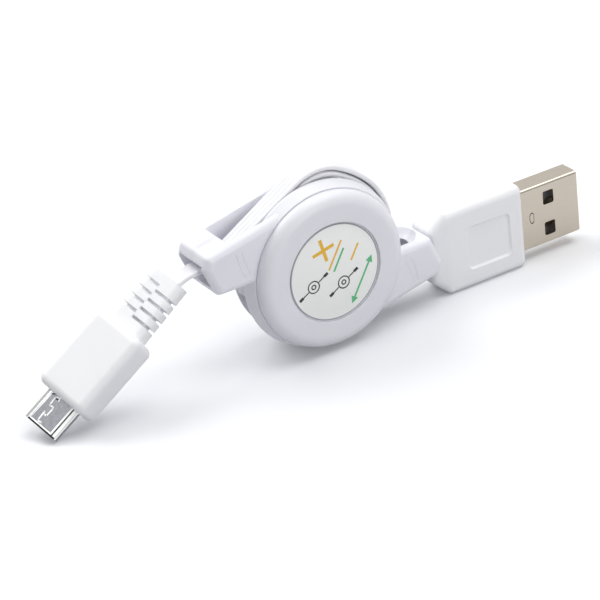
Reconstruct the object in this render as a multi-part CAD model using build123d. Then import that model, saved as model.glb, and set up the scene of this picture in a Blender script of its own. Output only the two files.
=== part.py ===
from build123d import *
import os
from math import acos, atan2, cos, degrees, hypot, pi, radians, sin, tan

# Flat cord, in millimetres
ribbon_width = 4.2
ribbon_thickness = 0.9
ribbon_cores = 4             # ridges across the ribbon, one over each wire
ribbon_ridge = 0.14          # how far each ridge stands out

# Spool that the cord is wound on
ribbon_play = 0.15           # each side of the ribbon, between the flanges
flange_wall = 1.1
flange_play = 0.35           # flange to housing web
hub_radius = 5.2
hub_wall = 0.8
winding_radius = 12.2
bearing_play = 0.08          # spool bore on the housing post
peg_radius = 0.3
peg_length = 0.7
peg_play = 0.04
peg_count = 3

# Reel housing: two shells with arms, and a cap on each
rim_radius = 15.2            # front rim, which the reel stands on
rear_rim_radius = 14.2
rim_wall = 1.15
rim_land = 0.4
rim_cone = 0.75              # how much the rim narrows towards its cap
rim_step = 0.25              # rim edge beyond the spool flange
rim_play = 0.35              # spool flange inside the rim
web = 1.35                   # wall of the shells and of their arms
post_radius = 1.7
cap_inset = 1.0              # cap inside its rim
cap_depth = 2.45
cap_wall = 1.1
cap_skirt = 1.2
cap_round = 2.1
cap_seam_height = 0.15       # thin groove under the cap's edge
cap_seam_depth = 0.35
label_radius = 8.8
label_thickness = 0.2
label_recess = 0.45
label_play = 0.3

# Arms: each pair of plates ends in two bridges that guide the cord
arm_length = 8.1             # beyond the rim
arm_upper = 1.85             # straight edge, from the reel's centre height
arm_end = 7.3                # height of the furthest point of the arm
arm_heel = 9.5
arm_heel_back = 0.8
arm_shoulder_back = 2.1
arm_root_back = 11.2         # where the slanted edge runs into the rims
arm_root = 13.4
arm_corner = 1.0
arm_edge_round = 1.3
bridge_length = 3.6
bridge_wall = 1.5
bridge_back = 1.8            # the plates reach this far past the charger side's bridges
phone_bridge_back = 0.3      # and past the phone side's
bridge_sill = 7.7            # lower side of the cord's opening
dowel_radius = 0.45
dowel_length = 1.4
dowel_play = 0.04
dowel_back = 0.8             # dowels to the outer end of the bridges
scoop_radius = 4.7           # hollowed edge of the bridge at the straight side
scoop_back = 1.4             # scoop's centre, back from the bridge
scoop_rise = 2.5             # and beyond the straight edge
groove_count = 2
groove_root = (4.0, -9.5)    # centre of the grip grooves
groove_radius = 12.3
groove_pitch = 1.1
groove_width = 0.6
groove_depth = 0.08
groove_start = 5
groove_sweep = 19

# Ball lock and return spring inside the reel
ball_radius = 0.75
ball_play = 0.1
track_outer = 10.9           # track in which the spool runs back
track_inner = 8.3            # track with the holding pockets
track_floor = 0.35           # wall left under the track
gate_count = 3
gate_lead = 28               # degrees that a gate slants over
pocket_lag = 62
spring_turns = 7
spring_strip = 0.12
spring_width = 3.6
spring_play = 0.02

# Screw that holds the shells together
screw_radius = 0.7
screw_grip = 4.5
screw_head_radius = 1.5
screw_head = 0.9
screw_hole_play = 0.25
screw_slot = 0.4
screw_slot_length = 2.1

# Plug for the charger, a type A plug; it stands on its narrow side
a_grip_length = 19.8
a_grip_width = 16.2
a_grip_thickness = 7.6
a_grip_round = 1.4
a_tail_length = 3.4          # tapered end next to the reel
a_tail_chamfer = 3.1
a_tail_play = 0.6            # tail inside the arm's plates
a_tail_gap = 0.4             # tail to the bridges
a_panel_length = 9.3
a_panel_width = 8.4
a_panel_corner = 1.1
a_panel_depth = 0.4
a_panel_draft = 40           # slope of the panel's sides
a_panel_drop = 0.35          # panel below the middle of the grip
a_panel_back = 3.2           # panel to the front of the grip
a_shell_width = 12.0
a_shell_height = 4.5
a_shell_wall = 0.3
a_shell_corner = 0.6
a_shell_length = 12.7        # beyond the grip
a_shell_hidden = 6.7
a_window_length = 2.3
a_window_width = 2.6
a_window_corner = 0.35
a_window_pitch = 6.1
a_window_back = 6.4          # window centres to the tip
a_root_length = 6.5          # block behind the tongue
a_tongue_thickness = 1.9
a_tongue_back = 0.7
a_tongue_play = 0.05
a_contact_width = 1.0
a_contact_height = 0.16
a_contact_back = 1.15        # contacts to the end of the tongue
a_contact_pitches = (-3.5, -1.0, 1.0, 3.5)
a_contact_lengths = (8.6, 7.6, 7.6, 8.6)

# Plug for the phone, a micro B plug; it hangs with its tip on the floor
b_reach = 49.1               # reel axis to the front of the grip
b_side = 1.5                 # set back from the reel's middle
b_droop = 33.1
b_roll = 26.4
b_floor_gap = 0.02
b_grip_length = 15.7
b_grip_width = 10.5
b_grip_thickness = 7.0
b_grip_round = 1.3
b_shell_width = 6.85
b_shell_height = 1.85
b_bevel_width = 0.9
b_bevel_height = 0.4
b_shell_wall = 0.25
b_shell_length = 6.0
b_shell_hidden = 4.0
b_tongue_height = 0.55
b_tongue_width = 4.4
b_tongue_back = 0.6
b_contact_count = 5
b_contact_pitch = 0.65
b_contact_width = 0.35
b_contact_height = 0.1
b_contact_length = 3.6
b_contact_back = 0.3
b_latch_spread = 4.9
b_latch_width = 0.7
b_latch_length = 2.6
b_latch_back = 2.2
b_latch_rise = 0.35
b_latch_play = 0.1
neck_length = 2.4
relief_length = 11.3         # neck and slotted sleeve behind the grip
relief_width = 7.8
relief_thickness = 4.2
relief_end_width = 7.2
relief_end_thickness = 3.3
relief_slot = 0.55
relief_pitch = 1.9
relief_slots = 4
relief_core_width = 5.2
relief_core_thickness = 2.0
relief_round = 1.35

# Cord ends between the winding and the plugs
lead_play = 0.02
loop_start = -36             # loose outer turn that rises over the reel
loop_start_radius = 12.8
loop_start_heading = 40
loop_rise_radius = 12.25
loop_rise_sweep = 60
loop_side_radius = 16.25
loop_side_sweep = 52.5
loop_top_radius = 9.0
lead_radius = 13.2           # charger strand before it leaves the spool
lead_start = -115
slot_entry = 4.4             # where a strand turns, back from the arm's end
phone_entry_height = 6.05
phone_exit_back = 0.7
phone_exit_height = 5.9
charger_entry_height = 6.6
bend_share = 0.45            # part of a run that its rounded turn takes

# Depths, each measured from the middle of the reel
flange_in = ribbon_width / 2 + ribbon_play
flange_out = flange_in + flange_wall
web_in = flange_out + flange_play
web_out = web_in + web
cap_out = web_out + cap_depth
rim_in = flange_in + rim_step

# Places worked out from the sizes
axis_z = rim_radius
flange_radius = rim_radius - rim_wall - rim_play
rear_flange_radius = rear_rim_radius - rim_wall - rim_play
barrel_radius = hub_radius - hub_wall
arm_reach = rim_radius + arm_length
bridge_end = arm_reach - bridge_back
bridge_start = bridge_end - bridge_length
phone_bridge_end = arm_reach - phone_bridge_back
a_tail_x = bridge_end + a_tail_gap
a_front_x = a_tail_x + a_grip_length
a_tip_x = a_front_x + a_shell_length
a_mid_z = a_grip_width / 2

reel_axis = Axis((0, 0, axis_z), (0, 1, 0))
section = Plane(origin=(0, 0, axis_z), x_dir=(1, 0, 0), z_dir=(0, 0, -1))


def front(depth):
    """Drawing plane across the reel axis, facing the front, at a depth from the middle."""
    return Plane(origin=(0, -depth, axis_z), x_dir=(1, 0, 0), z_dir=(0, -1, 0))


def turned(*points):
    """Solid of revolution about the reel axis from (radius, depth) points."""
    return revolve(section * make_face(Polyline(*points, close=True)), reel_axis, 360)


def drum(radius, depth_from, depth_to):
    return extrude(front(depth_from) * Circle(radius), amount=depth_to - depth_from)


def polar(radius, angle):
    return (radius * cos(radians(angle)), radius * sin(radians(angle)))


def tangent_angle(centre, radius, target, side):
    """Angle on a circle where the line to the target leaves it, on the given side."""
    run = (target[0] - centre[0], target[1] - centre[1])
    return degrees(atan2(run[1], run[0])) + side * degrees(acos(radius / hypot(*run)))


# Shells: a pan with a tapered rim, and two arm plates at half a turn from each other
def arm_outline():
    points = [
        (rim_radius - arm_root_back, -arm_upper),
        (arm_reach - arm_shoulder_back, -arm_upper),
        (arm_reach, -arm_end),
        (arm_reach - arm_heel_back, -arm_heel),
        (rim_radius - arm_root_back, -arm_root),
    ]
    face = make_face(Polyline(*points, close=True))
    return fillet(face.vertices().sort_by(Axis.X)[-3:], arm_corner)


def arm(reach):
    middle = (bridge_start + reach) / 2
    outline = arm_outline()
    plate = extrude(front(web_in) * outline, amount=web)
    outer_edges = plate.faces().sort_by(Axis.Y)[0].edges().sort_by(Axis.X)
    plate = fillet(outer_edges[1:], arm_edge_round)
    span = Pos(middle, 0) * Rectangle(reach - bridge_start, 2 * arm_root)
    opening_top = -arm_upper - bridge_wall
    opening = Pos(middle, (opening_top - bridge_sill) / 2) * Rectangle(
        2 * bridge_length, opening_top + bridge_sill
    )
    bridges = extrude(front(0) * ((outline & span) - opening), amount=web_in)
    bridges -= Pos(bridge_start - scoop_back, 0, axis_z - arm_upper + scoop_rise) * Sphere(scoop_radius)
    grooves = Part()
    for i in range(groove_count):
        arc = CenterArc(groove_root, groove_radius + i * groove_pitch, groove_start, groove_sweep)
        slot = SlotArc(arc, groove_width)
        grooves += extrude(front(web_out - groove_depth) * slot, amount=2 * groove_depth)
    return plate + bridges - grooves


def dowel_places():
    middle = bridge_end - dowel_back
    high = arm_upper + bridge_wall / 2
    low = bridge_sill + bridge_wall / 2
    return [(side * middle, -side * height) for side in (1, -1) for height in (high, low)]


def shell_blank(radius):
    inner = radius - rim_wall
    pan = turned(
        (0, web_in),
        (inner, web_in),
        (inner, rim_in),
        (radius, rim_in),
        (radius, rim_in + rim_land),
        (radius - rim_cone, web_out),
        (0, web_out),
    )
    right_arm = arm(bridge_end)
    left_arm = arm(phone_bridge_end).rotate(reel_axis, 180)
    well = drum(inner, 0, web_in)
    return pan + (right_arm - well) + (left_arm - well)


# Front shell: screw hole, dowel sockets, and the radial slot that the lock ball moves in
screw_hole = drum(screw_radius + screw_hole_play, web_in, web_out)
ball_depth = (flange_out + web_in) / 2
slot_floor = ball_depth + ball_radius + ball_play
slot_run = track_outer - track_inner
slot_shape = Pos(0, -(track_outer + track_inner) / 2) * Rot(0, 0, 90) * SlotCenterToCenter(
    slot_run, 2 * (ball_radius + ball_play)
)
ball_slot = extrude(front(web_in) * slot_shape, amount=slot_floor - web_in)
sockets = Part()
for place in dowel_places():
    sockets += extrude(
        front(0) * Pos(*place) * Circle(dowel_radius + dowel_play), amount=dowel_length + dowel_play
    )
front_shell = shell_blank(rim_radius) - screw_hole - ball_slot - sockets

# Rear shell: the post that the spool turns on, and the dowels
rear_shell = mirror(shell_blank(rear_rim_radius), about=Plane.XZ)
post = drum(post_radius, -web_in, web_in) - drum(screw_radius, web_in - screw_grip, web_in)
rear_shell += post
for place in dowel_places():
    rear_shell += extrude(front(0) * Pos(*place) * Circle(dowel_radius), amount=dowel_length)

# Caps: round covers with a rolled edge and a shallow recess for a label
recess_radius = label_radius + label_play
recess_floor = cap_out - label_recess


def cap(radius):
    face = radius - cap_round
    outline = Polyline(
        (radius, cap_out - cap_round),
        (radius, web_out + cap_seam_height),
        (radius - cap_seam_depth, web_out + cap_seam_height),
        (radius - cap_seam_depth, web_out),
        (radius - cap_skirt, web_out),
        (radius - cap_skirt, cap_out - cap_wall),
        (0, cap_out - cap_wall),
        (0, recess_floor),
        (recess_radius, recess_floor),
        (recess_radius, cap_out),
        (face, cap_out),
    )
    rolled = CenterArc((face, cap_out - cap_round), cap_round, 0, 90)
    return revolve(section * make_face([*outline.edges(), rolled]), reel_axis, 360)


front_cap = cap(rim_radius - cap_inset)
rear_cap = mirror(cap(rear_rim_radius - cap_inset), about=Plane.XZ)
label = drum(label_radius, recess_floor, recess_floor + label_thickness)

# Screw under the front cap, driven into the post
screw_cross = Rectangle(screw_slot_length, screw_slot) + Rectangle(screw_slot, screw_slot_length)
centre_screw = drum(screw_radius, web_in - screw_grip, web_out)
centre_screw += drum(screw_head_radius, web_out, web_out + screw_head)
centre_screw -= extrude(front(web_out + screw_head - screw_slot) * screw_cross, amount=2 * screw_slot)

# Spool: a drum with its rear flange, and a cam plate as its front flange
bore_radius = post_radius + bearing_play
spool_drum = drum(hub_radius, -flange_in, flange_in) - drum(barrel_radius, -flange_in, flange_in)
spool_drum += drum(rear_flange_radius, -flange_out, -flange_in)
spool_drum -= drum(bore_radius, -flange_out, -flange_in)
cam_plate = drum(flange_radius, flange_in, flange_out) - drum(bore_radius, flange_in, flange_out)
for i in range(peg_count):
    peg_place = Pos(*polar(hub_radius - hub_wall / 2, 90 + i * 360 / peg_count))
    spool_drum += extrude(front(flange_in) * peg_place * Circle(peg_radius), amount=peg_length)
    cam_plate -= extrude(
        front(flange_in) * peg_place * Circle(peg_radius + peg_play), amount=peg_length + peg_play
    )

# Track of the lock ball: two rings joined by slanted gates, with holding pockets inside
track_width = 2 * (ball_radius + ball_play)
track = Sketch()
for radius in (track_outer, track_inner):
    track += Circle(radius + track_width / 2) - Circle(radius - track_width / 2)
for i in range(gate_count):
    start = Vector(*polar(track_inner, i * 360 / gate_count))
    end = Vector(*polar(track_outer, i * 360 / gate_count + gate_lead))
    middle = (start + end) * 0.5
    slant = degrees(atan2(end.Y - start.Y, end.X - start.X))
    track += Pos(middle) * Rot(0, 0, slant) * SlotCenterToCenter((end - start).length, track_width)
    track += Pos(*polar(track_inner - ball_radius, i * 360 / gate_count + pocket_lag)) * Circle(track_width / 2)
cam_plate -= extrude(front(flange_in + track_floor) * track, amount=flange_wall)
lock_ball = Pos(0, -ball_depth, axis_z - track_outer) * Sphere(ball_radius)


# Return spring: a flat strip in half turns that grow step by step, from the post to the barrel
def spiral(inner, outer, half_turns, strip):
    step = (outer - inner) / half_turns
    outside = []
    inside = []
    for i in range(half_turns):
        centre = (step * (i % 2), 0)
        radius = inner + i * step
        outside.append(CenterArc(centre, radius + strip / 2, 180 * (i % 2), 180))
        inside.append(CenterArc(centre, radius - strip / 2, 180 * (i % 2), 180))
    ends = [Line(outside[0] @ 0, inside[0] @ 0), Line(outside[-1] @ 1, inside[-1] @ 1)]
    return make_face([*outside, *inside, *ends])


spring_inner = post_radius + bearing_play + spring_strip / 2 + spring_play
spring_outer = barrel_radius - spring_strip / 2 - spring_play
spring_face = spiral(spring_inner, spring_outer, 2 * spring_turns, spring_strip)
return_spring = extrude(front(-spring_width / 2) * spring_face, amount=spring_width)


# Wound cord: both strands side by side, with the ridges of the outer turn
def ridge_arcs(radius):
    pitch = ribbon_width / ribbon_cores
    arcs = []
    for i in range(ribbon_cores):
        low = -ribbon_width / 2 + i * pitch
        arcs.append(
            ThreePointArc((radius, low), (radius + ribbon_ridge, low + pitch / 2), (radius, low + pitch))
        )
    return arcs


winding_arcs = ridge_arcs(winding_radius - ribbon_ridge)
winding_sides = [
    Line((hub_radius, -ribbon_width / 2), winding_arcs[0] @ 0),
    Line((hub_radius, -ribbon_width / 2), (hub_radius, ribbon_width / 2)),
    Line((hub_radius, ribbon_width / 2), winding_arcs[-1] @ 1),
]
cable_winding = revolve(section * make_face([*winding_arcs, *winding_sides]), reel_axis, 360)

# Charger plug grip: its side view and its plan, one cut by the other
a_side = [
    (a_tail_x, a_tail_chamfer),
    (a_tail_x + a_tail_length, 0),
    (a_front_x, 0),
    (a_front_x, a_grip_width),
    (a_tail_x + a_tail_length, a_grip_width),
    (a_tail_x, a_grip_width - a_tail_chamfer),
]
a_half = a_grip_thickness / 2
a_tail_half = web_in - a_tail_play
a_plan = [
    (a_tail_x, -a_tail_half),
    (a_tail_x + a_tail_length, -a_half),
    (a_front_x, -a_half),
    (a_front_x, a_half),
    (a_tail_x + a_tail_length, a_half),
    (a_tail_x, a_tail_half),
]
a_blank = extrude(Plane.XZ * make_face(Polyline(*a_side, close=True)), amount=a_grip_thickness, both=True)
a_blank &= extrude(make_face(Polyline(*a_plan, close=True)), amount=a_grip_width)
a_grip = fillet(a_blank.edges(), a_grip_round)
a_panel_x = a_front_x - a_panel_back - a_panel_length / 2
a_panel_plane = Plane(origin=(a_panel_x, -a_half, a_mid_z - a_panel_drop), x_dir=(1, 0, 0), z_dir=(0, -1, 0))
a_panel = RectangleRounded(a_panel_length, a_panel_width, a_panel_corner)
a_grip -= extrude(a_panel_plane * a_panel, amount=-a_panel_depth, taper=a_panel_draft)

# Charger plug shell: a folded steel tube with two latch windows in each wide face
a_mouth = Plane(origin=(a_front_x - a_shell_hidden, 0, a_mid_z), x_dir=(0, 0, 1), z_dir=(1, 0, 0))
a_shell_total = a_shell_hidden + a_shell_length
a_tube = RectangleRounded(a_shell_width, a_shell_height, a_shell_corner)
a_hollow_width = a_shell_width - 2 * a_shell_wall
a_hollow_height = a_shell_height - 2 * a_shell_wall
a_hollow = RectangleRounded(a_hollow_width, a_hollow_height, a_shell_corner - a_shell_wall)
a_plug_body = extrude(a_mouth * a_tube, amount=a_shell_total)
a_grip -= a_plug_body
a_shell = a_plug_body - extrude(a_mouth * a_hollow, amount=a_shell_total)
for side in (-1, 1):
    place = Pos(a_tip_x - a_window_back, 0, a_mid_z + side * a_window_pitch / 2)
    window = Box(a_window_length, 2 * a_shell_height, a_window_width)
    a_shell -= place * fillet(window.edges().filter_by(Axis.Y), a_window_corner)

# Charger plug insulator: a block at the root and a tongue along the rear wall of the shell
a_block = Box(a_root_length, a_hollow_height - 2 * a_tongue_play, a_hollow_width - 2 * a_tongue_play)
a_tongue_length = a_shell_total - a_tongue_back
a_tongue_y = a_hollow_height / 2 - a_tongue_play - a_tongue_thickness / 2
a_blade = Box(a_tongue_length, a_tongue_thickness, a_hollow_width - 2 * a_tongue_play)
a_root_x = a_front_x - a_shell_hidden
a_insulator = Pos(a_root_x + a_root_length / 2, 0, a_mid_z) * a_block
a_insulator += Pos(a_root_x + a_tongue_length / 2, a_tongue_y, a_mid_z) * a_blade
a_insulator = fillet(a_insulator.edges().filter_by(Axis.X), a_shell_corner - a_shell_wall)

# Charger plug contacts: four strips on the tongue, the outer two longer
a_contact_face = a_tongue_y - a_tongue_thickness / 2
a_contacts = []
for pitch, length in zip(a_contact_pitches, a_contact_lengths):
    strip = Box(length, a_contact_height, a_contact_width)
    strip_x = a_tip_x - a_tongue_back - a_contact_back - length / 2
    a_contacts.append(Pos(strip_x, a_contact_face - a_contact_height / 2, a_mid_z + pitch) * strip)

# Phone plug frame: x towards the tip, z out of the bevelled wide face, origin at the grip's front
droop = radians(b_droop)
roll = radians(b_roll)
b_forward = Vector(-cos(droop), 0, -sin(droop))
b_up = Vector(-sin(droop) * cos(roll), -sin(roll), cos(droop) * cos(roll))
b_across = b_up.cross(b_forward)
b_height = (
    b_floor_gap
    + b_shell_length * sin(droop)
    - b_shell_width / 2 * b_across.Z
    + b_shell_height / 2 * b_up.Z
)
b_origin = Vector(-b_reach, b_side, b_height)
b_frame = Plane(origin=b_origin, x_dir=b_forward, z_dir=b_up).location

# Phone plug shell: a folded steel tube with two bevelled edges and slots for its latches
def b_tube(inset):
    half = b_shell_width / 2 - inset
    low = -b_shell_height / 2 + inset
    high = b_shell_height / 2 - inset
    slant = atan2(b_bevel_height, b_bevel_width)
    drop = b_bevel_height - inset * tan((pi / 2 - slant) / 2)
    back = b_bevel_width - inset * tan(slant / 2)
    outline = [(-half, low), (half, low), (half, high - drop), (half - back, high)]
    return make_face(Polyline(*outline, (back - half, high), (-half, high - drop), close=True))


b_mouth = Plane(origin=(-b_shell_hidden, 0, 0), x_dir=(0, 1, 0), z_dir=(1, 0, 0))
b_shell_total = b_shell_hidden + b_shell_length
b_solid = extrude(b_mouth * b_tube(0), amount=b_shell_total)
b_shell = b_solid - extrude(b_mouth * b_tube(b_shell_wall), amount=b_shell_total)
b_floor = -b_shell_height / 2
b_latch_x = b_shell_length - b_latch_back - b_latch_length / 2
b_latches = []
for side in (-1, 1):
    latch_y = side * b_latch_spread / 2
    gap = 2 * b_latch_play
    b_shell -= Pos(b_latch_x, latch_y, b_floor) * Box(
        b_latch_length + gap, b_latch_width + gap, 4 * b_shell_wall
    )
    hook = [
        (b_latch_x - b_latch_length / 2, b_floor + b_shell_wall),
        (b_latch_x + b_latch_length / 2, b_floor + b_shell_wall),
        (b_latch_x + b_latch_length / 2, b_floor),
        (b_latch_x, b_floor - b_latch_rise),
        (b_latch_x - b_latch_length / 2, b_floor),
    ]
    hook_plane = Plane(origin=(0, latch_y, 0), x_dir=(1, 0, 0), z_dir=(0, -1, 0))
    b_latches.append(
        extrude(hook_plane * make_face(Polyline(*hook, close=True)), amount=b_latch_width / 2, both=True)
    )

# Phone plug insulator with its tongue, and five contacts on it
b_inner_height = b_shell_height - 2 * b_shell_wall
b_inner_width = b_shell_width - 2 * b_shell_wall - 2 * b_bevel_width
b_tongue_length = b_shell_total - b_tongue_back
b_insulator = Pos(-b_shell_hidden / 2, 0, 0) * Box(b_shell_hidden, b_inner_width, b_inner_height)
b_tongue_z = b_inner_height / 2 - b_tongue_height / 2
b_insulator += Pos(-b_shell_hidden + b_tongue_length / 2, 0, b_tongue_z) * Box(
    b_tongue_length, b_tongue_width, b_tongue_height
)
b_contacts = []
for i in range(b_contact_count):
    contact_y = (i - (b_contact_count - 1) / 2) * b_contact_pitch
    contact_x = b_tongue_length - b_shell_hidden - b_contact_length / 2 - b_contact_back
    contact_z = b_tongue_z - b_tongue_height / 2 - b_contact_height / 2
    b_contacts.append(
        Pos(contact_x, contact_y, contact_z) * Box(b_contact_length, b_contact_width, b_contact_height)
    )

# Phone plug grip, moulded in one with its slotted strain relief
b_grip = Pos(-b_grip_length / 2, 0, 0) * Box(b_grip_length, b_grip_width, b_grip_thickness)
b_grip = fillet(b_grip.edges(), b_grip_round)
relief_plane = Plane(origin=(-b_grip_length, 0, 0), x_dir=(0, 1, 0), z_dir=(-1, 0, 0))
relief_start = relief_plane * RectangleRounded(relief_width, relief_thickness, relief_round)
relief_end = relief_plane.offset(relief_length) * RectangleRounded(
    relief_end_width, relief_end_thickness, relief_round
)
relief = loft([relief_start.face(), relief_end.face()])
core = Pos(-b_grip_length - relief_length / 2, 0, 0) * Box(
    relief_length, relief_core_width, relief_core_thickness
)
for i in range(relief_slots):
    for side, lag in ((1, 0), (-1, relief_pitch / 2)):
        slot_x = -b_grip_length - neck_length - i * relief_pitch - lag
        slot = Pos(slot_x, side * relief_width / 2, 0) * Box(relief_slot, relief_width, 2 * relief_thickness)
        relief -= slot - core
b_grip = b_grip + relief - b_solid

# Cord ends: flat strips along straight runs and arcs, in the middle plane of the reel
def strip_along(path):
    start = path @ 0
    ahead = path % 0
    profile = Plane(origin=start, x_dir=(0, 1, 0), z_dir=ahead) * Rectangle(ribbon_width, ribbon_thickness)
    return sweep(profile.face(), path)


def route(arcs, turn, end):
    """Arcs on the reel, straight run, rounded turn in the arm, straight run out of it."""
    leave = arcs[-1] @ 1
    first = Vector(*turn) - leave
    second = Vector(*end) - Vector(*turn)
    bend = radians(first.get_angle(second))
    bend_radius = bend_share * min(first.length, second.length) / tan(bend / 2)
    line = FilletPolyline(leave, turn, end, radius=bend_radius)
    whole = Wire([*arcs, *line.edges()])
    print("bend radius", round(bend_radius, 2), "strand", round(whole.length, 2))
    return front(0) * whole


phone_turn = (slot_entry - arm_reach, phone_entry_height)
phone_exit = (phone_exit_back - arm_reach, phone_exit_height)
loop_first = polar(loop_start_radius, loop_start)
loop_rise = JernArc(loop_first, polar(1, loop_start_heading), loop_rise_radius, loop_rise_sweep)
loop_side = JernArc(loop_rise @ 1, loop_rise % 1, loop_side_radius, loop_side_sweep)
loop_heading = loop_start_heading + loop_rise_sweep + loop_side_sweep
top_centre = loop_side @ 1 + Vector(*polar(loop_top_radius, loop_heading + 90))
loop_leave = tangent_angle((top_centre.X, top_centre.Y), loop_top_radius, phone_turn, -1)
loop_top_sweep = (loop_leave + 90 - loop_heading) % 360
loop_top = JernArc(loop_side @ 1, loop_side % 1, loop_top_radius, loop_top_sweep)
phone_path = route([loop_rise.edge(), loop_side.edge(), loop_top.edge()], phone_turn, phone_exit)
phone_strip = strip_along(phone_path)

# The phone strand turns with its plug on the way into the strain relief
exit_plane = Plane(origin=phone_path @ 1, x_dir=(0, 1, 0), z_dir=phone_path % 1)
entry = b_origin - b_forward * (b_grip_length + relief_length + lead_play)
entry_plane = Plane(origin=entry, x_dir=-b_across, z_dir=b_forward)
strip_face = Rectangle(ribbon_width, ribbon_thickness)
phone_twist = loft([(exit_plane * strip_face).face(), (entry_plane * strip_face).face()])
phone_lead = phone_strip + phone_twist

charger_turn = (arm_reach - slot_entry, -charger_entry_height)
charger_end = (a_tail_x - lead_play, -charger_entry_height)
lead_leave = tangent_angle((0, 0), lead_radius, charger_turn, -1)
lead_arc = CenterArc((0, 0), lead_radius, lead_start, lead_leave - lead_start)
charger_path = route([lead_arc.edge()], charger_turn, charger_end)
charger_lead = strip_along(charger_path)

turns = (winding_radius - hub_radius) / (2 * ribbon_thickness)
mean_radius = (winding_radius + hub_radius) / 2
print("wound on each strand", round(turns, 2), "turns,", round(2 * pi * mean_radius * turns, 1), "mm")

nodes = {
    "front_shell": front_shell,
    "rear_shell": rear_shell,
    "front_cap": front_cap,
    "rear_cap": rear_cap,
    "front_label": label,
    "centre_screw": centre_screw,
    "lock_ball": lock_ball,
    "return_spring": return_spring,
    "spool_drum": spool_drum,
    "cam_plate": cam_plate,
    "cable_winding": cable_winding,
    "charger_lead": charger_lead,
    "charger_plug_grip": a_grip,
    "charger_plug_shell": a_shell,
    "charger_plug_insulator": a_insulator,
    "charger_plug_contacts": Compound(a_contacts),
    "phone_lead": phone_lead,
    "phone_plug_grip": b_frame * b_grip,
    "phone_plug_shell": b_frame * b_shell,
    "phone_plug_insulator": b_frame * b_insulator,
    "phone_plug_contacts": b_frame * Compound(b_contacts),
    "phone_plug_latches": b_frame * Compound(b_latches),
}

os.makedirs("parts", exist_ok=True)
for name, shape in nodes.items():
    export_step(shape, f"parts/{name}.step")
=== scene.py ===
from math import asin, atan2, cos, pi, radians, sin

import bmesh
import bpy
from mathutils import Matrix, Quaternion, Vector
from mathutils.geometry import interpolate_bezier


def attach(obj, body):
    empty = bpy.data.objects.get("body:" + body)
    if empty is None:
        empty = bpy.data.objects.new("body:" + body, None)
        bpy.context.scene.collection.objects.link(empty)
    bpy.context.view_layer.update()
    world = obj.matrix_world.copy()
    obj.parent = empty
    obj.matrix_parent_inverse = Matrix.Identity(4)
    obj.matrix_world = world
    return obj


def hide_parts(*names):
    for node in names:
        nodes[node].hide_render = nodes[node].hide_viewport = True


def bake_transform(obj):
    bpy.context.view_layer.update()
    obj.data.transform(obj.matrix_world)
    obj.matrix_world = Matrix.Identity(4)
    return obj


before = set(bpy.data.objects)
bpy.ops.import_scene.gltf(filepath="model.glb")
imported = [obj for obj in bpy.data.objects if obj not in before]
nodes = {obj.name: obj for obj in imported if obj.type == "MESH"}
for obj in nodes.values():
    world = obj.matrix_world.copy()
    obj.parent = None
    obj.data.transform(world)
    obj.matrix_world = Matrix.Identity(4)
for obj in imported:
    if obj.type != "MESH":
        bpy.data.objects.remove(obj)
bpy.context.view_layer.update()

# Reel housing. Two shells with cord arms and a round cap on each, injection-moulded in white ABS.
# The shells are pinned by dowels and one screw, and the caps are pressed on.
# The mould's satin finish gives a soft, even gloss with hardly any visible grain.


def linear(hex_colour):
    channels = [int(hex_colour[i:i + 2], 16) / 255 for i in (1, 3, 5)]
    return [c / 12.92 if c <= 0.04045 else ((c + 0.055) / 1.055) ** 2.4 for c in channels] + [1]


def add(tree, kind, inputs, **settings):
    made = tree.nodes.new(kind)
    for name, value in settings.items():
        setattr(made, name, value)
    for name, value in inputs.items():
        if isinstance(value, bpy.types.NodeSocket):
            tree.links.new(value, made.inputs[name])
        else:
            made.inputs[name].default_value = value
    return made


def start_material(name):
    material = bpy.data.materials.new(name)
    material.use_nodes = True
    tree = material.node_tree
    place = add(tree, "ShaderNodeTexCoord", {}).outputs["Object"]
    return material, tree, place, tree.nodes["Principled BSDF"].inputs


def dress(material, *names):
    for name in names:
        slots = nodes[name].data.materials
        slots.clear()
        slots.append(material)


abs_white, tree, place, shader = start_material("ABS_moulded_white")
abs_flow = 0.009           # faint flow marks, about a centimetre apart
abs_grain = 0.00025        # satin of the mould, drawn coarser than it is so that it shows
tones = {"A": linear("#F0F0F7"), "B": linear("#EAEAF2")}
flow = add(tree, "ShaderNodeTexNoise", {"Vector": place, "Scale": 1 / abs_flow, "Detail": 2.0})
tint = add(tree, "ShaderNodeMix", {"Factor": flow.outputs["Fac"], **tones}, data_type="RGBA")
grain = add(tree, "ShaderNodeTexNoise", {"Vector": place, "Scale": 1 / abs_grain, "Detail": 3.0})
gloss = add(tree, "ShaderNodeMapRange", {"Value": grain.outputs["Fac"], "To Min": 0.34, "To Max": 0.44})
satin = add(tree, "ShaderNodeBump", {"Height": grain.outputs["Fac"], "Strength": 0.05, "Distance": 0.00003})
tree.links.new(tint.outputs["Result"], shader["Base Color"])
tree.links.new(gloss.outputs["Result"], shader["Roughness"])
tree.links.new(satin.outputs["Normal"], shader["Normal"])
shader["IOR"].default_value = 1.53
shader["Subsurface Weight"].default_value = 0.3
shader["Subsurface Scale"].default_value = 0.001
shader["Subsurface Radius"].default_value = (1.8, 1.6, 1.8)
dress(abs_white, "front_shell", "rear_shell", "front_cap", "rear_cap")

# Label. A die-cut disc of pale coated paper under a skin of clear resin, stuck in the cap's recess.
# A thin grey ring of painted shade runs round its edge, for the shade of the recess wall, and the resin
# gives it a clear gloss.
# The print is plain marks in thin ink: an arrow, a cross, bars and ringed cord signs.
MM = 0.001
axis_height = 15.2
label_face = -7.25
label_radius = 8.8
label_thickness = 0.2
label_bevel = 0.06
shade_ring_width = 0.2
shade_ring_blur = 0.06
print_slant = 58


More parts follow.
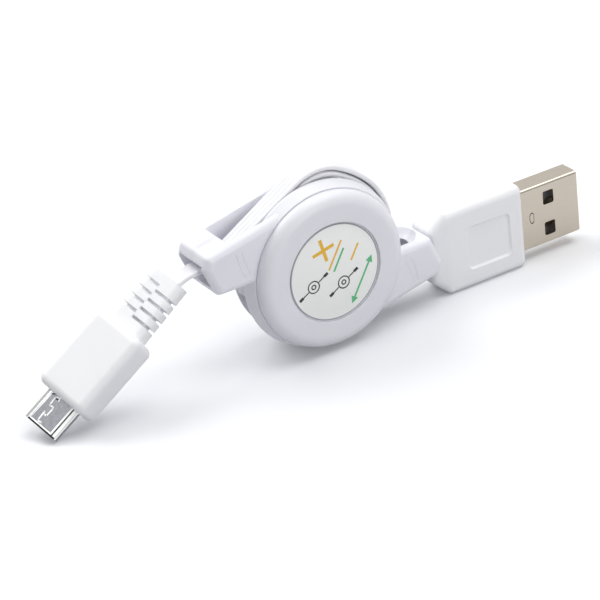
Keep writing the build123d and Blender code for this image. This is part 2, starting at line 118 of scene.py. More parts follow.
def finish_piece(bm, name, material):
    """Turns a mesh drawn in millimetres into a piece of the scene, with its material."""
    weld_reach = 0.002
    sharp_angle = radians(35)
    bmesh.ops.remove_doubles(bm, verts=bm.verts, dist=weld_reach)
    bmesh.ops.recalc_face_normals(bm, faces=bm.faces)
    bmesh.ops.scale(bm, vec=(MM, MM, MM), verts=bm.verts)
    mesh = bpy.data.meshes.new(name)
    bm.to_mesh(mesh)
    bm.free()
    mesh.shade_smooth()
    mesh.set_sharp_from_angle(angle=sharp_angle)
    mesh.materials.append(material)
    piece = bpy.data.objects.new(name, mesh)
    bpy.context.scene.collection.objects.link(piece)
    return piece


def verts_of(geom):
    return [v for v in geom if isinstance(v, bmesh.types.BMVert)]


face_cap = Matrix.Translation((0, label_face, axis_height)) @ Matrix.Rotation(pi / 2, 4, "X")
face_print = face_cap @ Matrix.Rotation(radians(print_slant), 4, "Z")

paper, tree, place, shader = start_material("coated_paper_resin_topped")
paper_fibre = 0.0004       # cloudy formation of the sheet
tones = {"A": linear("#FDFEFB"), "B": linear("#F7F9F6")}
label_middle = (0, label_face * MM, axis_height * MM)
cloud = add(tree, "ShaderNodeTexNoise", {"Vector": place, "Scale": 1 / paper_fibre, "Detail": 4.0})
tint = add(tree, "ShaderNodeMix", {"Factor": cloud.outputs["Fac"], **tones}, data_type="RGBA")
offset = add(tree, "ShaderNodeVectorMath", {0: place, 1: label_middle}, operation="SUBTRACT")
radius = add(tree, "ShaderNodeVectorMath", {0: offset.outputs["Vector"]}, operation="LENGTH")
# Painted shade: the outer rim of the disc turns grey, for the shade at the recess wall.
shade_ring = add(
    tree,
    "ShaderNodeMapRange",
    {
        "Value": radius.outputs["Value"],
        "From Min": (label_radius - shade_ring_width - shade_ring_blur) * MM,
        "From Max": (label_radius - shade_ring_width) * MM,
    },
)
tones = {"A": tint.outputs["Result"], "B": linear("#9E9EA4")}
ring_shaded = add(tree, "ShaderNodeMix", {"Factor": shade_ring.outputs["Result"], **tones}, data_type="RGBA")
tree.links.new(ring_shaded.outputs["Result"], shader["Base Color"])
shader["Roughness"].default_value = 0.42
shader["Coat Weight"].default_value = 0.5
shader["Coat Roughness"].default_value = 0.12

bm = bmesh.new()
bmesh.ops.create_circle(bm, cap_ends=True, segments=128, radius=label_radius, matrix=face_cap)
cut = bmesh.ops.extrude_face_region(bm, geom=bm.faces[:])
bmesh.ops.translate(bm, vec=(0, label_thickness, 0), verts=verts_of(cut["geom"]))
rim = [e for e in bm.edges if len(e.link_faces) == 2 and e.calc_face_angle(0) > 1]
bmesh.ops.bevel(bm, geom=rim, offset=label_bevel, affect="EDGES", segments=3, profile=0.5, material=-1)
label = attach(finish_piece(bm, "label_film", paper), "housing")
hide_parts("front_label")

ink_thickness = 0.02
ink_speck = 0.0003         # uneven cover of the thin ink, which stays matt
ink_shade = 0.85
bar_width = 0.36
cross_place = (3.0, 4.0)
cross_length = 4.4
cross_width = 0.62
arrow_up = -6.0
arrow_reach = 3.7
arrow_length = 6.6
head_size = 0.85
sign_slant = -28
sign_stroke = 0.22
sign_radii = (1.2, 0.5)
sign_bars = ((1.9, 1.3, sign_stroke), (3.0, 0.9, 0.55))     # distance from the rings, length, width


def ink(name, colour):
    material, tree, place, shader = start_material(name)
    full = linear(colour)
    tones = {"A": full, "B": [c * ink_shade for c in full[:3]] + [1]}
    speck = add(tree, "ShaderNodeTexNoise", {"Vector": place, "Scale": 1 / ink_speck, "Detail": 2.0})
    tint = add(tree, "ShaderNodeMix", {"Factor": speck.outputs["Fac"], **tones}, data_type="RGBA")
    tree.links.new(tint.outputs["Result"], shader["Base Color"])
    shader["Roughness"].default_value = 0.45
    return material


def bar(bm, across, up, length, width, turn=0, lift=0):
    place = face_print @ Matrix.Translation((across, up, lift)) @ Matrix.Rotation(radians(turn), 4, "Z")
    stretch = Matrix.Diagonal((length / 2, width / 2, 1, 1))
    bmesh.ops.create_grid(bm, x_segments=1, y_segments=1, size=1, matrix=place @ stretch)


def ring(bm, across, up, radius, width):
    place = face_print @ Matrix.Translation((across, up, 0))
    outer = bmesh.ops.create_circle(bm, segments=32, radius=radius, matrix=place)["verts"]
    inner = bmesh.ops.create_circle(bm, segments=32, radius=radius - width, matrix=place)["verts"]
    rims = dict.fromkeys(e for v in outer + inner for e in v.link_edges)
    bmesh.ops.bridge_loops(bm, edges=list(rims))


def arrow_head(bm, across, up, size, turn):
    place = face_print @ Matrix.Translation((across, up, 0)) @ Matrix.Rotation(radians(turn), 4, "Z")
    bmesh.ops.create_circle(bm, cap_ends=True, segments=3, radius=size, matrix=place)


def print_marks(bm, name, material):
    bmesh.ops.recalc_face_normals(bm, faces=bm.faces)
    raised = bmesh.ops.extrude_face_region(bm, geom=bm.faces[:])
    bmesh.ops.translate(bm, vec=(0, -ink_thickness, 0), verts=verts_of(raised["geom"]))
    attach(finish_piece(bm, name, material), "housing")


bm = bmesh.new()
for turn, lift in ((45, 0), (-45, ink_thickness / 2)):
    bar(bm, *cross_place, cross_length, cross_width, turn, lift)
bar(bm, across=2.8, up=1.3, length=5.6, width=bar_width)
bar(bm, across=4.3, up=-2.3, length=3.2, width=bar_width)
print_marks(bm, "label_print_amber", ink("ink_amber", "#F8C43A"))

bm = bmesh.new()
bar(bm, 0, arrow_up, arrow_length, bar_width)
arrow_head(bm, arrow_reach, arrow_up, head_size, -90)
arrow_head(bm, -arrow_reach, arrow_up, head_size, 90)
bar(bm, across=2.2, up=0.2, length=4.4, width=bar_width)
print_marks(bm, "label_print_green", ink("ink_green", "#62C588"))

bm = bmesh.new()
slope = Vector((cos(radians(sign_slant)), sin(radians(sign_slant))))
for across, up in ((-3.5, 3.0), (-1.3, -2.6)):
    for size in sign_radii:
        ring(bm, across, up, size, sign_stroke)
    for side in (-1, 1):
        for distance, length, width in sign_bars:
            reach = distance * side
            bar(bm, across + reach * slope.x, up + reach * slope.y, length, width, sign_slant)
print_marks(bm, "label_print_black", ink("ink_black", "#26272B"))

# Steel parts in the middle of the reel: the screw under the front cap, the lock ball and the spring.
# All are bare bright steel, turned, ground or rolled, with fine lines left by the work.
bright_steel, tree, place, shader = start_material("steel_bright")
steel_lines = 0.0002       # drawn coarser than they are so that they show
lines = add(tree, "ShaderNodeTexNoise", {"Vector": place, "Scale": 1 / steel_lines, "Detail": 2.0})
gloss = add(tree, "ShaderNodeMapRange", {"Value": lines.outputs["Fac"], "To Min": 0.2, "To Max": 0.36})
tree.links.new(gloss.outputs["Result"], shader["Roughness"])
shader["Base Color"].default_value = linear("#C9CACC")
shader["Metallic"].default_value = 1.0
dress(bright_steel, "centre_screw", "lock_ball", "return_spring")

# Spool. A drum with its rear flange, and a cam plate with the ball's track pressed on its pegs.
# Both are moulded in plain white acetal, which is slippery and a little duller than the housing.
acetal, tree, place, shader = start_material("acetal_white")
acetal_flow = 0.004        # flow marks of the mould
tones = {"A": linear("#E6E6EA"), "B": linear("#DEDFE4")}
flow = add(tree, "ShaderNodeTexNoise", {"Vector": place, "Scale": 1 / acetal_flow, "Detail": 3.0})
tint = add(tree, "ShaderNodeMix", {"Factor": flow.outputs["Fac"], **tones}, data_type="RGBA")
tree.links.new(tint.outputs["Result"], shader["Base Color"])
shader["Roughness"].default_value = 0.5
dress(acetal, "spool_drum", "cam_plate")

# Flat cord. Four cores side by side in extruded white vinyl, with a low ridge over each core.
# The winding is made of close turns on the spool, with both halves of the cord in turn.
# The soft skin has a dull sheen and faint marks from the die.
ribbon_width = 4.2
ribbon_thickness = 0.9
ridge = 0.14
ridge_count = 4
edge_height = ribbon_thickness - 2 * ridge
edge_bulge = 0.08
ridge_pitch = (ribbon_width - 2 * edge_bulge) / ridge_count
hub_radius = 5.2
winding_radius = 12.2
wound_layers = 8
layer_pitch = (winding_radius - hub_radius) / wound_layers
layer_bulge = 0.1
flank = ribbon_width / 2 - layer_bulge
outer_pitch = 2 * flank / ridge_count
reel_centre = (0, 0, axis_height)

vinyl, tree, place, shader = start_material("vinyl_extruded_white")
vinyl_streak = 0.0006      # marks from the die
tones = {"A": linear("#F3F3F6"), "B": linear("#ECECF0")}
streak = add(tree, "ShaderNodeTexNoise", {"Vector": place, "Scale": 1 / vinyl_streak, "Detail": 3.0})
tint = add(tree, "ShaderNodeMix", {"Factor": streak.outputs["Fac"], **tones}, data_type="RGBA")
gloss = add(tree, "ShaderNodeMapRange", {"Value": streak.outputs["Fac"], "To Min": 0.4, "To Max": 0.52})
skin = add(tree, "ShaderNodeBump", {"Height": streak.outputs["Fac"], "Strength": 0.08, "Distance": 0.00004})
tree.links.new(tint.outputs["Result"], shader["Base Color"])
tree.links.new(gloss.outputs["Result"], shader["Roughness"])
tree.links.new(skin.outputs["Normal"], shader["Normal"])
shader["Subsurface Weight"].default_value = 0.3
shader["Subsurface Scale"].default_value = 0.001
shader["Subsurface Radius"].default_value = (0.5, 0.45, 0.45)


def arc_from(bm, corner, along, bulge, pitch, height, steps):
    """Edges over one ridge, from a corner, with the ridge running out along bulge."""
    radius = (pitch ** 2 / 4 + height ** 2) / (2 * height)
    half = asin(pitch / 2 / radius)
    centre = Vector(corner) + Vector(along) * (pitch / 2) - Vector(bulge) * (radius - height)
    vert = bmesh.ops.create_vert(bm, co=corner)["vert"]
    axis = Vector(bulge).cross(Vector(along))
    bmesh.ops.spin(bm, geom=vert, cent=centre, axis=axis, angle=2 * half, steps=steps, use_duplicate=False)


bm = bmesh.new()
for i in range(wound_layers):
    up = axis_height + hub_radius + i * layer_pitch
    for side in (-1, 1):
        arc_from(bm, (0, side * flank, up), (0, 0, 1), (0, side, 0), layer_pitch, layer_bulge, 5)
for i in range(ridge_count):
    corner = (0, -flank + i * outer_pitch, axis_height + winding_radius - ridge)
    arc_from(bm, corner, (0, 1, 0), (0, 0, 1), outer_pitch, ridge, 6)
bmesh.ops.remove_doubles(bm, verts=bm.verts, dist=0.2 * ridge)
ends = sorted((v for v in bm.verts if len(v.link_edges) == 1), key=lambda v: v.co.z)
bmesh.ops.contextual_create(bm, geom=ends[:2])
for vert in [v for v in ends[2:] if v.co.y < 0]:
    mate = min((v for v in ends[2:] if v is not vert), key=lambda v: (v.co - vert.co).length)
    bmesh.ops.contextual_create(bm, geom=[vert, mate])
section = bm.verts[:] + bm.edges[:]
bmesh.ops.spin(bm, geom=section, cent=reel_centre, axis=(0, 1, 0), angle=2 * pi, steps=160, use_merge=True)
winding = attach(finish_piece(bm, "cord_winding", vinyl), "spool")
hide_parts("cable_winding")


def ribbon_start(bm, place, heading, tilt=0):
    """Closed outline of the cord, standing across its route, facing the heading in degrees."""
    half = ribbon_width / 2 - edge_bulge
    for sign in (1, -1):
        for i in range(ridge_count):
            corner = (0, sign * (i * ridge_pitch - half), sign * edge_height / 2)
            arc_from(bm, corner, (0, sign, 0), (0, 0, sign), ridge_pitch, ridge, 5)
        corner = (0, sign * half, sign * edge_height / 2)
        arc_from(bm, corner, (0, 0, -sign), (0, sign, 0), edge_height, edge_bulge, 4)
    bmesh.ops.remove_doubles(bm, verts=bm.verts, dist=0.01)
    turn = Matrix.Rotation(radians(-heading), 3, "Y") @ Matrix.Rotation(radians(tilt), 3, "X")
    bmesh.ops.rotate(bm, cent=(0, 0, 0), matrix=turn, verts=bm.verts)
    bmesh.ops.translate(bm, vec=(place[0], 0, place[1]), verts=bm.verts)
    bmesh.ops.edgeloop_fill(bm, edges=bm.edges[:])
    return bm.edges[:]


def bend(bm, edges, centre, sweep):
    """Carries the cord's outline round a centre, in degrees; left turns are positive."""
    degrees_a_step = 2.5
    steps = max(3, round(abs(sweep) / degrees_a_step))
    geom = list(dict.fromkeys(v for e in edges for v in e.verts)) + list(edges)
    middle = (centre[0], 0, centre[1])
    spun = bmesh.ops.spin(bm, geom=geom, cent=middle, axis=(0, -1, 0), angle=radians(sweep), steps=steps)
    return [e for e in spun["geom_last"] if isinstance(e, bmesh.types.BMEdge)]


def run(bm, edges, step):
    """Draws the cord's outline on by one step, which may turn it."""
    drawn = bmesh.ops.extrude_edge_only(bm, edges=edges)["geom"]
    moved = verts_of(drawn)
    bmesh.ops.transform(bm, matrix=step, verts=moved)
    return [e for e in drawn if isinstance(e, bmesh.types.BMEdge) and all(v in moved for v in e.verts)]


def way_of(heading):
    return Vector((cos(radians(heading)), 0, sin(radians(heading))))


def straight(bm, edges, length, heading):
    steps = 6
    for i in range(steps):
        edges = run(bm, edges, Matrix.Translation(way_of(heading) * (length / steps)))
    return edges


# Phone end of the cord. It rises off the winding in a loose loop over the top of the reel.
# It then dives under the left arm's bridge and turns with the plug into its strain relief.
loop_start = (10.3554, 7.6763)
loop_heading = 40
right_centre = (1.9234, 17.7252)
top_centre = (-3.6533, 12.1486)
top_heading = 135
top_sweep = 17.5
left_centre = (1.8897, 22.7966)
left_sweep = 57.331
dive_heading = -150.169
dive_length = 17.138
bridge_centre = (-20.8408, 27.9844)
bridge_sweep = -27.509
exit_heading = -177.678
exit_length = 2.0367
exit_point = Vector((-22.6, 0, 21.1))
exit_way = way_of(exit_heading)
entry_point = Vector((-26.1491, 0.3356, 19.5379))
entry_way = Vector((-0.837719, 0, -0.546102))
entry_roll = 46            # the cord goes in on the skew, nearly edge on to the viewer
plug_across = Vector((-0.242816, 0.895712, 0.372479))
entry_across = Quaternion(entry_way, radians(entry_roll)) @ plug_across
twist_steps = 14
twist_reach = 1.4


def loop_over(bm, edges, heading):
    """Carries the cord's outline up the right of the reel, over its top and down on the left."""
    edges = bend(bm, edges, right_centre, top_heading - heading)
    edges = bend(bm, edges, top_centre, top_sweep)
    return bend(bm, edges, left_centre, left_sweep)


def stance(way, across):
    """Turn of the cord that points it along its way, with its width lying across."""
    return Matrix((across, way.cross(across), way)).transposed().to_quaternion()


bm = bmesh.new()
edges = ribbon_start(bm, loop_start, loop_heading)
edges = loop_over(bm, edges, loop_heading)
edges = straight(bm, edges, dive_length, dive_heading)
edges = bend(bm, edges, bridge_centre, bridge_sweep)
edges = straight(bm, edges, exit_length, exit_heading)
exit_handle = exit_point + exit_way * twist_reach
entry_handle = entry_point - entry_way * twist_reach
points = interpolate_bezier(exit_point, exit_handle, entry_handle, entry_point, twist_steps + 1)
first = stance(exit_way, Vector((0, 1, 0)))
last = stance(entry_way, entry_across)
before = Matrix.Translation(exit_point) @ first.to_matrix().to_4x4()
for i in range(1, twist_steps + 1):
    after = Matrix.Translation(points[i]) @ first.slerp(last, i / twist_steps).to_matrix().to_4x4()
    edges = run(bm, edges, after @ before.inverted())
    before = after
bmesh.ops.edgeloop_fill(bm, edges=edges)
phone_cord = finish_piece(bm, "cord_phone_end", vinyl)
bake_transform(phone_cord)
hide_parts("phone_lead")

# Loose turn. The cord has slackened, so the turn below the loop has come up with it.
# It lies close under the loop, with a thin dark gap between them.
slack_start = (13.6284, 14.5889)
slack_heading = 75
slack_tilt = -4.5
slack_length = 5.418
wrap_sweep = 70
bm = bmesh.new()
edges = ribbon_start(bm, slack_start, slack_heading, slack_tilt)
edges = loop_over(bm, edges, slack_heading)
edges = straight(bm, edges, slack_length, dive_heading)
edges = bend(bm, edges, (0, axis_height), wrap_sweep)
bmesh.ops.edgeloop_fill(bm, edges=edges)
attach(finish_piece(bm, "cord_loose_turn", vinyl), "housing")

# Charger end of the cord. It leaves the winding at the bottom of the reel.
# It runs up through the right arm and straight into the tail of the charger plug.
leave_start = (-5.5786, 3.2367)
leave_heading = -25
leave_sweep = 47.002
arm_heading = 22.002
arm_length = 13.7099
arm_centre = (20.241, 1.7018)
tail_length = 1.639
bm = bmesh.new()
edges = ribbon_start(bm, leave_start, leave_heading)
edges = bend(bm, edges, (0, axis_height), leave_sweep)
edges = straight(bm, edges, arm_length, arm_heading)
edges = bend(bm, edges, arm_centre, -arm_heading)
edges = straight(bm, edges, tail_length, 0)
bmesh.ops.edgeloop_fill(bm, edges=edges)
charger_cord = finish_piece(bm, "cord_charger_end", vinyl)
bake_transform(charger_cord)
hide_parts("charger_lead")

# Plug grips. White vinyl moulded over the plugs and the ends of the cord, in one shot each.
# The mould is lightly blasted, so the skin is duller than the housing and has a very fine grain.
grip_vinyl, tree, place, shader = start_material("vinyl_moulded_white")
grip_cloud = 0.007         # uneven colour of the vinyl
grip_grain = 0.0003        # blasted grain, drawn coarser than it is so that it shows
tones = {"A": linear("#FAFBFD"), "B": linear("#F5F6FA")}
cloud = add(tree, "ShaderNodeTexNoise", {"Vector": place, "Scale": 1 / grip_cloud, "Detail": 2.0})
tint = add(tree, "ShaderNodeMix", {"Factor": cloud.outputs["Fac"], **tones}, data_type="RGBA")
grain = add(tree, "ShaderNodeTexNoise", {"Vector": place, "Scale": 1 / grip_grain, "Detail": 3.0})
gloss = add(tree, "ShaderNodeMapRange", {"Value": grain.outputs["Fac"], "To Min": 0.42, "To Max": 0.54})
blast = add(tree, "ShaderNodeBump", {"Height": grain.outputs["Fac"], "Strength": 0.08, "Distance": 0.00003})
tree.links.new(tint.outputs["Result"], shader["Base Color"])
tree.links.new(gloss.outputs["Result"], shader["Roughness"])
tree.links.new(blast.outputs["Normal"], shader["Normal"])
shader["Subsurface Weight"].default_value = 0.3
shader["Subsurface Scale"].default_value = 0.001
shader["Subsurface Radius"].default_value = (0.8, 0.75, 0.75)
dress(grip_vinyl, "charger_plug_grip", "phone_plug_grip")

# Plug shells. Thin steel strip, folded into a tube and plated with nickel, warm on one plug and cool
# on the other. The large shell has faint rolling lines along it, and the small one a cloudy satin face.
rolling_lines = 0.00025    # spacing of the lines, drawn coarser than they are so that they show
satin_cloud = 0.0006       # size of the cloudy patches
along_plug = (0.06, 1, 1)  # draws the lines out along the large plug
all_ways = (1, 1, 1)


def plated_steel(name, light, dark, grain_size, stretch, smooth, rough):
    material, tree, place, shader = start_material(name)
    tones = {"A": linear(light), "B": linear(dark)}
    drawn = add(tree, "ShaderNodeMapping", {"Vector": place, "Scale": stretch}).outputs["Vector"]
    grain = add(tree, "ShaderNodeTexNoise", {"Vector": drawn, "Scale": 1 / grain_size, "Detail": 4.0})
    grey = grain.outputs["Fac"]
    tint = add(tree, "ShaderNodeMix", {"Factor": grey, **tones}, data_type="RGBA")
    gloss = add(tree, "ShaderNodeMapRange", {"Value": grey, "To Min": smooth, "To Max": rough})
    streaks = add(tree, "ShaderNodeBump", {"Height": grey, "Strength": 0.05, "Distance": 0.00002})
    tree.links.new(tint.outputs["Result"], shader["Base Color"])
    tree.links.new(gloss.outputs["Result"], shader["Roughness"])
    tree.links.new(streaks.outputs["Normal"], shader["Normal"])
    shader["Metallic"].default_value = 1.0
    return material


warm_steel = plated_steel("steel_nickel_warm", "#C6BDB0", "#BDB4A7", rolling_lines, along_plug, 0.18, 0.26)
cool_steel = plated_steel("steel_nickel_cool", "#CACBD0", "#9C9DA5", satin_cloud, all_ways, 0.18, 0.26)
dress(warm_steel, "charger_plug_shell")
dress(cool_steel, "phone_plug_shell", "phone_plug_latches")

# Lines on the phone plug's shell. The strip's ends meet in a stepped dovetail joint down the wide face.
# The joint, the near folds, the near bevel and the side wall carry painted highlights, nearly white, and
# the far bevel a grey strip of painted shade.
# The openings, the tip's end and the gap at the grip carry painted shadow, dark lines of steel.
droop = radians(33.1)
roll = radians(26.4)
forward = Vector((-cos(droop), 0, -sin(droop)))
face_up = Vector((-sin(droop) * cos(roll), -sin(roll), cos(droop) * cos(roll)))
across = face_up.cross(forward)
plug_front = Vector((-49.1, 1.5, 5.2664))
face_height = 0.925
flat_half = 2.525
shell_half = 3.425
bevel_drop = 0.4
tip = 6.0
tip_fold = tip - 0.42
tip_edge = tip - 0.15
near_tip = tip - 0.4
fold_line = flat_half - 0.07
line_height = 0.02
joint_width = 0.24
fold_width = 0.16
tip_width = 0.28
line_mottle = 0.0004         # size of the faint mottling in the painted lines
turned = Matrix((forward, across, face_up)).transposed().to_4x4()
plug_face = Matrix.Translation(plug_front + face_up * face_height) @ turned
bevel_slope = atan2(bevel_drop, shell_half - flat_half)
bevel_face = plug_face @ Matrix.Translation((0, flat_half, 0)) @ Matrix.Rotation(-bevel_slope, 4, "X")
left_bevel = plug_face @ Matrix.Translation((0, -flat_half, 0)) @ Matrix.Rotation(bevel_slope, 4, "X")
side_wall = plug_face @ Matrix.Translation((0, shell_half, -bevel_drop)) @ Matrix.Rotation(-pi / 2, 4, "X")

joint_path = [
    (0.2, -0.75), (0.35, -1.25), (1.95, -1.15), (2.15, -0.9), (1.85, -0.45), (2.15, -0.2), (3.8, -0.25),
    (3.75, -0.8), (3.4, -1.05), (5.05, -0.95), (5.35, -0.85), (5.1, -0.35), (5.3, -0.15), (5.6, -0.05),
]
# Each line has its plane, its two ends as distance along the plug and across it, and its width.
joint_lines = [(plug_face, first, last, joint_width) for first, last in zip(joint_path, joint_path[1:])]
# Painted highlights: nearly white lines on the joint, the folds, the near bevel and the side wall.
painted_highlight_lines = joint_lines + [
    (plug_face, (0.1, -0.5), (0.6, -0.3), joint_width),
    (plug_face, (tip_fold, -flat_half), (tip_fold, flat_half), joint_width),
    (plug_face, (0.1, fold_line), (near_tip, fold_line), fold_width),
    (plug_face, (0.1, -fold_line), (near_tip, -fold_line), fold_width),
    (plug_face, (0.2, -flat_half + 0.28), (near_tip, -flat_half + 0.05), 0.28),
    (bevel_face, (0.1, 0.09), (near_tip, 0.09), 0.18),
    (bevel_face, (0.3, 0.68), (tip - 0.6, 0.68), 0.54),
    (side_wall, (0.3, 0.35), (near_tip, 0.35), 0.6),
]
# Painted shadow: dark lines at the tip's end, in the bevel, at the openings, at the gap by the grip and
# along the side wall's lower edge.
painted_shadow_lines = [
    (plug_face, (tip_edge, -flat_half), (tip_edge, flat_half), tip_width),
    (bevel_face, (tip_edge, 0.1), (tip_edge, 0.8), tip_width),
    (bevel_face, (0.2, 0.29), (near_tip, 0.29), 0.24),
    (plug_face, (0.55, -0.9), (0.5, -0.6), 0.24),
    (plug_face, (0.35, -2.1), (0.1, -1.75), 0.2),
    (side_wall, (0.2, 0.96), (tip - 0.1, 0.96), 0.1),
]
# Painted shade: a grey strip over the far bevel, which would otherwise shine white.
painted_shade_lines = [(left_bevel, (0.3, -0.68), (tip - 0.3, -0.68), 0.58)]


def line(bm, plane, first, last, width):
    """Thin raised bar on a plane, from one point to another, with square ends past both."""
    first = Vector(first)
    last = Vector(last)
    middle = (first + last) / 2
    turn = atan2((last - first).y, (last - first).x)
    size = Matrix.Diagonal(((last - first).length + width, width, 2 * line_height, 1))
    place = plane @ Matrix.Translation((middle.x, middle.y, 0)) @ Matrix.Rotation(turn, 4, "Z")
    bmesh.ops.create_cube(bm, size=1, matrix=place @ size)


highlight_steel = plated_steel("steel_nickel_painted_highlight", "#FFFFFF", "#F4F4F2", line_mottle, all_ways, 0.65, 0.75)
painted_shade_steel = plated_steel("steel_nickel_painted_shade", "#92928F", "#868683", line_mottle, all_ways, 0.45, 0.55)
painted_shadow_steel = plated_steel("steel_painted_shadow", "#2A2A2C", "#3C3C40", line_mottle, all_ways, 0.3, 0.4)
for name, drawing, steel in (
    ("phone_plug_painted_highlight_lines", painted_highlight_lines, highlight_steel),
    ("phone_plug_painted_shadow_lines", painted_shadow_lines, painted_shadow_steel),
    ("phone_plug_painted_shade_line", painted_shade_lines, painted_shade_steel),
):
    bm = bmesh.new()
    for row in drawing:
        line(bm, *row)
    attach(finish_piece(bm, name, steel), "phone_plug")

# Stamped line on the charger plug's shell. The outline of a half-round tab, which is pressed inwards from
# the front face near the grip to hold the insulator. Its cut is drawn as a thin dark stroke of painted
# shade.
tab_centre = (44.25, -2.25, 8.15)
tab_radius = 0.55
tab_stroke = 0.09
tab_stretch = 2            # the tab is twice as high as it is wide
tab_flat = 40              # the round ends this far from the flat side's middle, in degrees
origin = (0, 0, 0)
bm = bmesh.new()
stroke = [bmesh.ops.create_vert(bm, co=(tab_radius - tab_stroke * i, 0, 0))["vert"][0] for i in range(2)]
radial = bmesh.ops.contextual_create(bm, geom=stroke)["edges"]
bmesh.ops.rotate(bm, cent=origin, matrix=Matrix.Rotation(radians(-tab_flat), 3, "Y"), verts=stroke)
sweep = radians(360 - 2 * tab_flat)
curve = bmesh.ops.spin(bm, geom=stroke + radial, cent=origin, axis=(0, -1, 0), angle=sweep, steps=24)
bmesh.ops.contextual_create(bm, geom=stroke + verts_of(curve["geom_last"]))
bmesh.ops.scale(bm, vec=(1, 1, tab_stretch), verts=bm.verts)
thick = bmesh.ops.extrude_face_region(bm, geom=bm.faces[:])
bmesh.ops.translate(bm, vec=(0, -line_height, 0), verts=verts_of(thick["geom"]))
bmesh.ops.translate(bm, vec=tab_centre, verts=bm.verts)
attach(finish_piece(bm, "charger_plug_stamped_line", painted_shadow_steel), "charger_plug")

# Insulators. Moulded blocks with a tongue, pressed into the shells from behind.
# They are grey nylon, which the short glass fibres in it make dull and a little cloudy.
nylon, tree, place, shader = start_material("nylon_glass_filled_grey")
glass_fibre = 0.0003       # length of the fibres
tones = {"A": linear("#7A777A"), "B": linear("#868386")}
fibre = add(tree, "ShaderNodeTexNoise", {"Vector": place, "Scale": 1 / glass_fibre, "Detail": 3.0})
tint = add(tree, "ShaderNodeMix", {"Factor": fibre.outputs["Fac"], **tones}, data_type="RGBA")
tree.links.new(tint.outputs["Result"], shader["Base Color"])
shader["Roughness"].default_value = 0.55
dress(nylon, "charger_plug_insulator", "phone_plug_insulator")

# Contacts. Stamped phosphor bronze strips, pressed into the tongues.
# A thin flash of gold over nickel leaves them pale and only faintly warm.
gold, tree, place, shader = start_material("bronze_gold_flashed")
gold_wear = 0.0004         # patches worn by plugging in
wear = add(tree, "ShaderNodeTexNoise", {"Vector": place, "Scale": 1 / gold_wear, "Detail": 3.0})
gloss = add(tree, "ShaderNodeMapRange", {"Value": wear.outputs["Fac"], "To Min": 0.22, "To Max": 0.38})
tree.links.new(gloss.outputs["Result"], shader["Roughness"])
shader["Base Color"].default_value = linear("#9C958A")
shader["Metallic"].default_value = 1.0
dress(gold, "charger_plug_contacts", "phone_plug_contacts")

# Floor. A plain matt paper sheet, which shows white to the camera and keeps the soft shadow.
# To the object it is light grey, so that little light comes up from below.
floor_half = 4
glow_seen = 0.06           # share of plain white where the camera sees the sheet
glow_mirrored = 0.25       # and where a gloss shows it
sheet_white = bpy.data.materials.new("studio_sheet_white")
sheet_white.use_nodes = True
tree = sheet_white.node_tree
rays = add(tree, "ShaderNodeLightPath", {}).outputs
shine = rays["Is Glossy Ray"]
through = rays["Is Transmission Ray"]
seen = add(tree, "ShaderNodeMath", {0: rays["Is Camera Ray"], 1: shine}, operation="MAXIMUM").outputs[0]
seen = add(tree, "ShaderNodeMath", {0: seen, 1: through}, operation="MAXIMUM").outputs[0]
glow = add(tree, "ShaderNodeMapRange", {"Value": shine, "To Min": glow_seen, "To Max": glow_mirrored})
share = add(tree, "ShaderNodeMath", {0: seen, 1: glow.outputs["Result"]}, operation="MULTIPLY")
tones = {"A": linear("#B6B6BB"), "B": linear("#F8F9FC")}
tone = add(tree, "ShaderNodeMix", {"Factor": seen, **tones}, data_type="RGBA")
matt = add(tree, "ShaderNodeBsdfDiffuse", {"Color": tone.outputs["Result"]})
white = add(tree, "ShaderNodeEmission", {"Color": (1, 1, 1, 1), "Strength": 1.0})
mixed = add(tree, "ShaderNodeMixShader", {0: share.outputs[0], 1: matt.outputs[0], 2: white.outputs[0]})
tree.links.new(mixed.outputs[0], tree.nodes["Material Output"].inputs["Surface"])
bm = bmesh.new()
bmesh.ops.create_grid(bm, x_segments=1, y_segments=1, size=floor_half)
mesh = bpy.data.meshes.new("floor")
bm.to_mesh(mesh)
bm.free()
mesh.materials.append(sheet_white)
floor = bpy.data.objects.new("floor", mesh)
bpy.context.scene.collection.objects.link(floor)

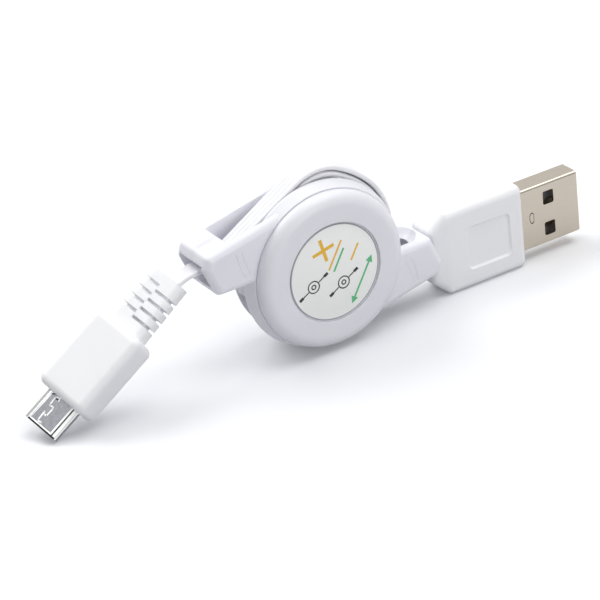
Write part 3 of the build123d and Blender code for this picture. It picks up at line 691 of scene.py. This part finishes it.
# Light. A white room with three soft boxes: one behind on the left, a larger one overhead on the
# right, and one low in front, which fills the faces that the camera sees.
room_light = 0.37          # what the walls shed on matt faces
wall_front = 0.6           # what a gloss shows of the wall behind the camera
wall_back = 0.95           # and of the wall behind the object
wall_turn = 0.7            # how far round the one fades into the other
aim = (0, 0, 0.01)
world = bpy.data.worlds.new("studio_room")
bpy.context.scene.world = world
world.use_nodes = True
tree = world.node_tree
rays = add(tree, "ShaderNodeLightPath", {}).outputs
shine = rays["Is Glossy Ray"]
views = {0: rays["Is Camera Ray"], 1: rays["Is Transmission Ray"]}
seen = add(tree, "ShaderNodeMath", views, operation="MAXIMUM").outputs[0]
way = add(tree, "ShaderNodeSeparateXYZ", {0: add(tree, "ShaderNodeTexCoord", {}).outputs["Object"]})
fade = {"From Min": -wall_turn, "From Max": wall_turn, "To Min": wall_front, "To Max": wall_back}
walls = add(tree, "ShaderNodeMapRange", {"Value": way.outputs["Y"], **fade})
lit = add(tree, "ShaderNodeMix", {"Factor": shine, "A": room_light, "B": walls.outputs["Result"]})
level = add(tree, "ShaderNodeMix", {"Factor": seen, "A": lit.outputs["Result"], "B": 1.0})
tree.links.new(level.outputs["Result"], tree.nodes["Background"].inputs["Strength"])
tree.nodes["Background"].inputs["Color"].default_value = (1, 1, 1, 1)


def soft_box(name, place, size, power):
    light = bpy.data.lights.new(name, "AREA")
    light.shape = "SQUARE"
    light.size = size
    light.energy = power
    lamp = bpy.data.objects.new(name, light)
    lamp.location = place
    lamp.rotation_euler = (Vector(aim) - Vector(place)).to_track_quat("-Z", "Y").to_euler()
    bpy.context.scene.collection.objects.link(lamp)


soft_box("light_behind", place=(-0.18, 0.38, 0.52), size=0.4, power=2.2)
soft_box("light_above", place=(0.22, -0.1, 0.67), size=0.6, power=2.7)
soft_box("light_front", place=(0.2, -1.5, 0.38), size=0.6, power=5.3)

# Camera. It stands where the photograph was taken from, on the left and above the table.
# The lens is long, so the object's lines stay nearly parallel.
lens = bpy.data.cameras.new("camera")
lens.lens = 168.0
lens.sensor_width = 36.0
lens.clip_start = 0.01
camera = bpy.data.objects.new("camera", lens)
camera.location = (-0.207418, -0.375329, 0.231504)
camera.rotation_euler = (1.086202, 0.105022, -0.553053)
bpy.context.scene.collection.objects.link(camera)
bpy.context.scene.camera = camera
bpy.context.scene.view_settings.view_transform = "Standard"
